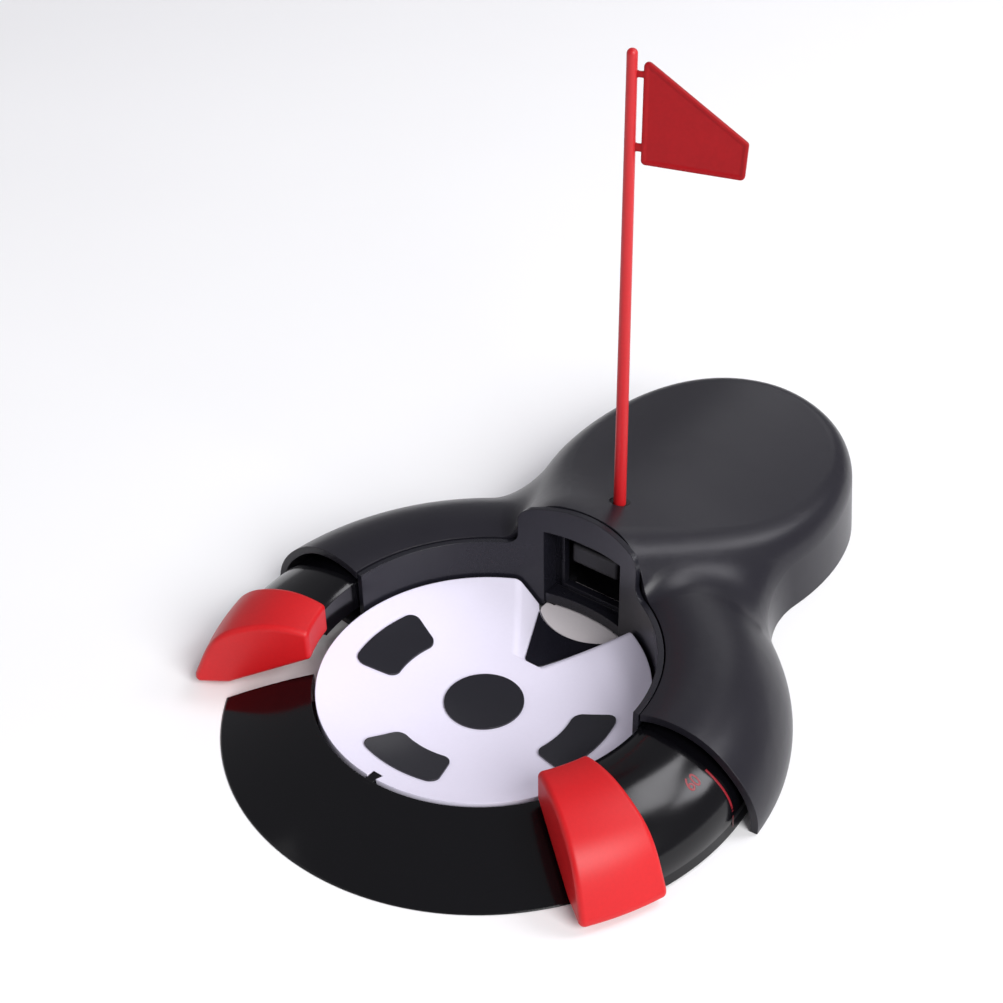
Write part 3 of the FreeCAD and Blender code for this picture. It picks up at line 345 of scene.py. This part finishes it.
def surface_height(node):
    """How high the top of a CAD node is at x, y, all in millimetres."""
    mesh = NODES[node].data
    tree = BVHTree.FromPolygons([v.co for v in mesh.vertices], [tuple(p.vertices) for p in mesh.polygons])

    def height(x, y):
        return tree.ray_cast(Vector((x * MM, y * MM, 0.1)), Vector((0, 0, -1)))[0].z / MM
    return height


# The printed scale on the right gate's arm: radii, widths and sizes in millimetres, angles in degrees from +X
INK_LIFT = 0.04
SCALE_R0 = 82.0
SCALE_R1 = 92.5
SCALE_ANGLE = 2.0
SCALE_ACROSS = (-0.42, -0.14, 0.14, 0.42)
SCALE_STEPS = 40
FIGURE_R = 83.6
FIGURE_ANGLE = -4.6
FIGURE_SIZE = 5.4
FIGURE_WEIGHT = 0.05
FIGURE_EDGE = 0.5


def printed(bm):
    """The printed sheet as a closed film, its underside just below the arm's surface."""
    film = bmesh.ops.extrude_face_region(bm, geom=bm.faces[:], use_keep_orig=True)["geom"]
    lower = [v for v in film if isinstance(v, bmesh.types.BMVert)]
    bmesh.ops.translate(bm, verts=lower, vec=(0, 0, -2 * INK_LIFT))


def scale_line():
    """Red line printed across the gate arm, which reads against the housing's end."""
    height = surface_height("right_gate_arm")
    bm = bmesh.new()
    rows = []
    for i in range(SCALE_STEPS + 1):
        r = SCALE_R0 + (SCALE_R1 - SCALE_R0) * i / SCALE_STEPS
        row = []
        for across in SCALE_ACROSS:
            angle = math.radians(SCALE_ANGLE) + across / r
            x, y = r * math.cos(angle), r * math.sin(angle)
            row.append(bm.verts.new((x, y, height(x, y) + INK_LIFT)))
        rows.append(row)
    for a, b in zip(rows, rows[1:]):
        for i in range(len(SCALE_ACROSS) - 1):
            bm.faces.new((a[i], a[i + 1], b[i + 1], b[i]))
    printed(bm)
    finished("scale_line", bm, "scale_ink", "right_gate", "tip_red")


def scale_figure():
    """The scale's printed number, laid on the arm beside its line."""
    curve = bpy.data.curves.new("figure", "FONT")
    curve.body = "60"
    curve.size = FIGURE_SIZE
    curve.offset = FIGURE_WEIGHT
    text = bpy.data.objects.new("figure", curve)
    bpy.context.scene.collection.objects.link(text)
    bpy.context.view_layer.update()
    mesh = bpy.data.meshes.new_from_object(text)
    bpy.data.objects.remove(text)
    height = surface_height("right_gate_arm")
    bm = bmesh.new()
    bm.from_mesh(mesh)
    bpy.data.meshes.remove(mesh)
    bmesh.ops.triangulate(bm, faces=bm.faces)
    for _ in range(3):
        long_edges = [e for e in bm.edges if e.calc_length() > FIGURE_EDGE]
        bmesh.ops.subdivide_edges(bm, edges=long_edges, cuts=1)
        bmesh.ops.triangulate(bm, faces=bm.faces)
    for v in bm.verts:
        r = FIGURE_R - v.co.y
        angle = math.radians(FIGURE_ANGLE) + v.co.x / FIGURE_R
        x, y = r * math.cos(angle), r * math.sin(angle)
        v.co = (x, y, height(x, y) + INK_LIFT)
    printed(bm)
    finished("scale_figure", bm, "scale_ink", "right_gate", "tip_red")


SEAM_HALF_WIDTH = 0.02 * MM
SEAM_TURN = 0.08                   # a normal that leans further than this across the seam is a real edge


def housing_shell():
    """The housing with its shading carried smoothly across the line where its two halves meet."""
    mesh = NODES["upper_housing"].data.copy()
    mesh.name = "housing_shell"
    normals = [corner.vector.copy() for corner in mesh.corner_normals]
    for normal, loop in zip(normals, mesh.loops):
        if abs(mesh.vertices[loop.vertex_index].co.x) < SEAM_HALF_WIDTH and abs(normal.x) < SEAM_TURN:
            normal.x = 0.0
            normal.normalize()
    mesh.normals_split_custom_set(normals)
    shell = bpy.data.objects.new("housing_shell", mesh)
    bpy.context.scene.collection.objects.link(shell)
    wear(shell, "housing_plastic")
    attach(shell, "chassis")
    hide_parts("upper_housing")


SPRING_TURNS = 6
SPRING_WIRE_R = 0.3
SPRING_STEPS = 28                  # sections in a turn
SPRING_RING = 8                    # points round the wire


def return_spring():
    """The kicker's spring, as a fixed coil of round wire filling the CAD spring's box."""
    low, high = (Vector(corner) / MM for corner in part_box("return_spring"))
    centre_x, centre_z = (low.x + high.x) / 2, (low.z + high.z) / 2
    coil_r = (high.x - low.x) / 2 - SPRING_WIRE_R
    start, length = low.y + SPRING_WIRE_R, high.y - low.y - 2 * SPRING_WIRE_R
    count = SPRING_TURNS * SPRING_STEPS
    loops = []
    for i in range(count + 1):
        angle = 2 * math.pi * i / SPRING_STEPS
        outward = Vector((math.cos(angle), 0, math.sin(angle)))
        along = Vector((-math.sin(angle) * coil_r, length / (2 * math.pi * SPRING_TURNS), math.cos(angle) * coil_r))
        across = along.normalized().cross(outward)
        middle = Vector((centre_x, start + length * i / count, centre_z)) + outward * coil_r
        loops.append([middle + (outward * math.cos(a) + across * math.sin(a)) * SPRING_WIRE_R
                      for a in (2 * math.pi * k / SPRING_RING for k in range(SPRING_RING))])
    bm = bmesh.new()
    loft(bm, loops)
    spring = finished("return_coil", bm, "spring_steel", "chassis", "spring_steel", "return_spring")
    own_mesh(spring)


flag()
housing_shell()
return_spring()
scale_line()
scale_figure()


# ---- floor, light and camera ---------------------------------------------------------------------

LIGHT_TARGET = Vector((0.0, 0.04, 0.0))
LIGHTS = [
    ("key", (2.40, -0.70, 1.75), 1.9, 1.9, 103.0, (1.0, 1.0, 1.0)),
    ("back", (0.50, 0.92, 1.65), 0.75, 0.45, 7.4, (0.97, 0.96, 1.0)),
    ("rear", (-0.40, 1.45, 0.90), 0.9, 0.5, 1.35, (0.97, 0.97, 1.0)),
    ("shoulder", (0.82, 0.96, 1.10), 0.40, 0.40, 3.8, (0.96, 0.95, 1.0)),
    ("fill", (-1.4, -1.7, 1.5), 1.8, 1.8, 4.0, (1.0, 1.0, 1.0)),
]
FLOOR_HALF = 4.0
FLOOR_DROP = 0.0002
AMBIENT = 0.32


def area_light(name, place, width, height, power, colour):
    data = bpy.data.lights.new(name, "AREA")
    data.shape = "RECTANGLE"
    data.size, data.size_y, data.energy, data.color = width, height, power, colour
    lamp = bpy.data.objects.new(name, data)
    bpy.context.scene.collection.objects.link(lamp)
    lamp.location = place
    lamp.rotation_euler = (LIGHT_TARGET - Vector(place)).to_track_quat("-Z", "Y").to_euler()


def studio():
    bm = bmesh.new()
    bmesh.ops.create_grid(bm, x_segments=8, y_segments=8, size=FLOOR_HALF)
    mesh = bpy.data.meshes.new("floor")
    bm.to_mesh(mesh)
    bm.free()
    floor = bpy.data.objects.new("floor", mesh)
    floor.location = (0.0, 0.0, -FLOOR_DROP)
    bpy.context.scene.collection.objects.link(floor)
    s = Shader("floor_paper", Specular_IOR_Level=0.1)
    s.link(s.mix(s.noise(6.0, 3.0), (0.91, 0.91, 0.915), (0.94, 0.94, 0.945)), "Base Color")
    s.link(s.remap(s.noise(200.0, 3.0), 0.3, 0.7, 0.85, 0.95), "Roughness")
    mesh.materials.append(s.material)
    world = bpy.data.worlds.new("studio")
    world.use_nodes = True
    world.node_tree.nodes["Background"].inputs["Color"].default_value = (0.95, 0.94, 1.0, 1.0)
    world.node_tree.nodes["Background"].inputs["Strength"].default_value = AMBIENT
    bpy.context.scene.world = world
    for name, place, width, height, power, colour in LIGHTS:
        area_light(name, place, width, height, power, colour)


CAMERA_AZIMUTH = 38.989
CAMERA_ELEVATION = 35.643
CAMERA_ROLL = -1.246
CAMERA_DISTANCE = 0.64822
CAMERA_TARGET = Vector((-0.067908, 0.095044, 0.0))
FOCAL_LENGTH_PX = 1700.0
FRAME_PX = 1003.0


def camera():
    azimuth = math.radians(CAMERA_AZIMUTH)
    elevation = math.radians(CAMERA_ELEVATION)
    roll = math.radians(CAMERA_ROLL)
    back = Vector((math.sin(azimuth) * math.cos(elevation), -math.cos(azimuth) * math.cos(elevation),
                   math.sin(elevation)))
    right = Vector((math.cos(azimuth), math.sin(azimuth), 0.0))
    up = back.cross(right)
    side = right * math.cos(roll) + up * math.sin(roll)
    top = up * math.cos(roll) - right * math.sin(roll)
    data = bpy.data.cameras.new("camera")
    data.sensor_width = 36.0
    data.lens = FOCAL_LENGTH_PX / FRAME_PX * data.sensor_width
    data.clip_start = 0.01
    cam = bpy.data.objects.new("camera", data)
    cam.matrix_world = Matrix((side, top, back)).transposed().to_4x4()
    cam.matrix_world.translation = CAMERA_TARGET + back * CAMERA_DISTANCE
    bpy.context.scene.collection.objects.link(cam)
    bpy.context.scene.camera = cam


studio()
camera()
bpy.context.scene.view_settings.view_transform = "Standard"
